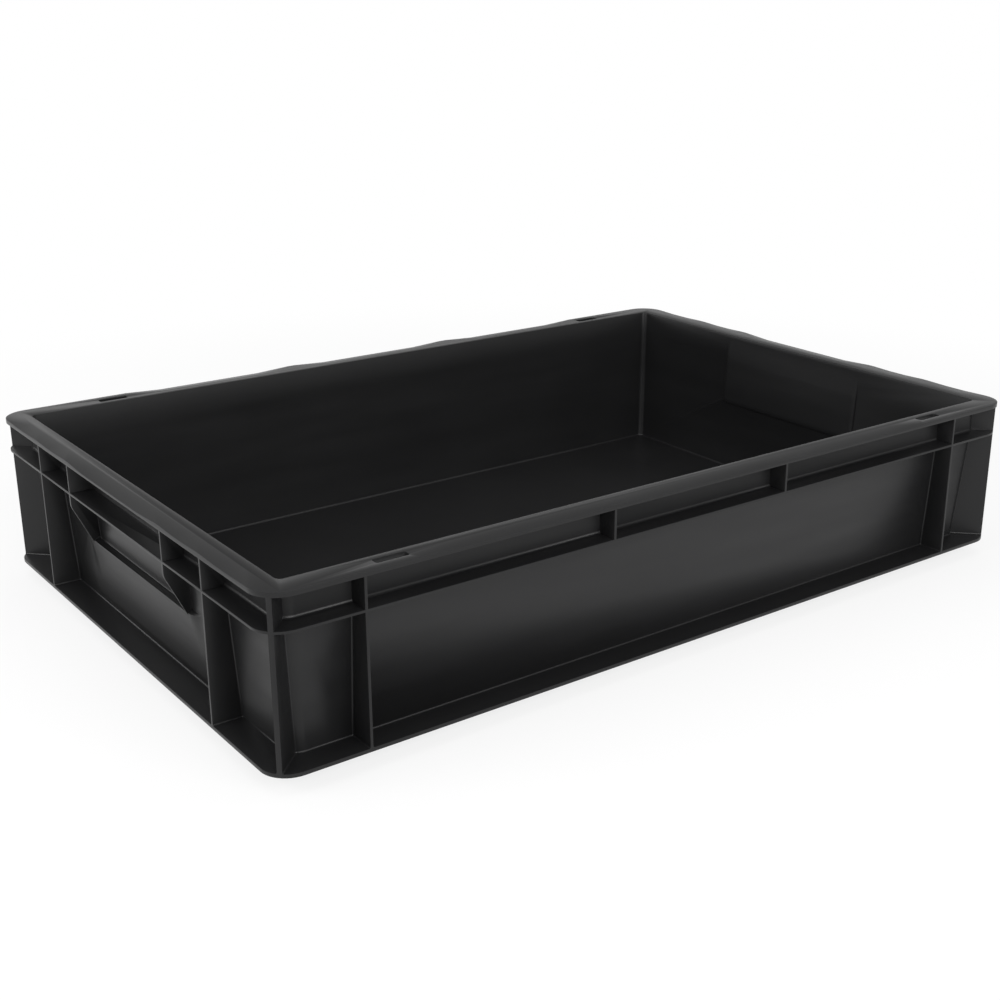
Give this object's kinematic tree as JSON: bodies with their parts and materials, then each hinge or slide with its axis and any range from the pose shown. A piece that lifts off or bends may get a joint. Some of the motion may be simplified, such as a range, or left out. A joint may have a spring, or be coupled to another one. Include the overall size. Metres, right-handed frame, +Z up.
{
  "type": "euro container",
  "caption": "Shallow straight-sided stacking tray with a flanged rim, upright ribs, closed grip recesses in the short sides and a foot that nests in the mouth of a tray below.",
  "frame": {"origin": "centre of the stacking foot's underside", "axes": "+X along the long side, +Y along the short side, +Z up out of the open mouth"},
  "size_m": [0.6, 0.4, 0.118],
  "materials": {
    "body": "satin black polypropylene"
  },
  "bodies": {
    "root": {"container_body": "body"}
  },
  "joints": []
}
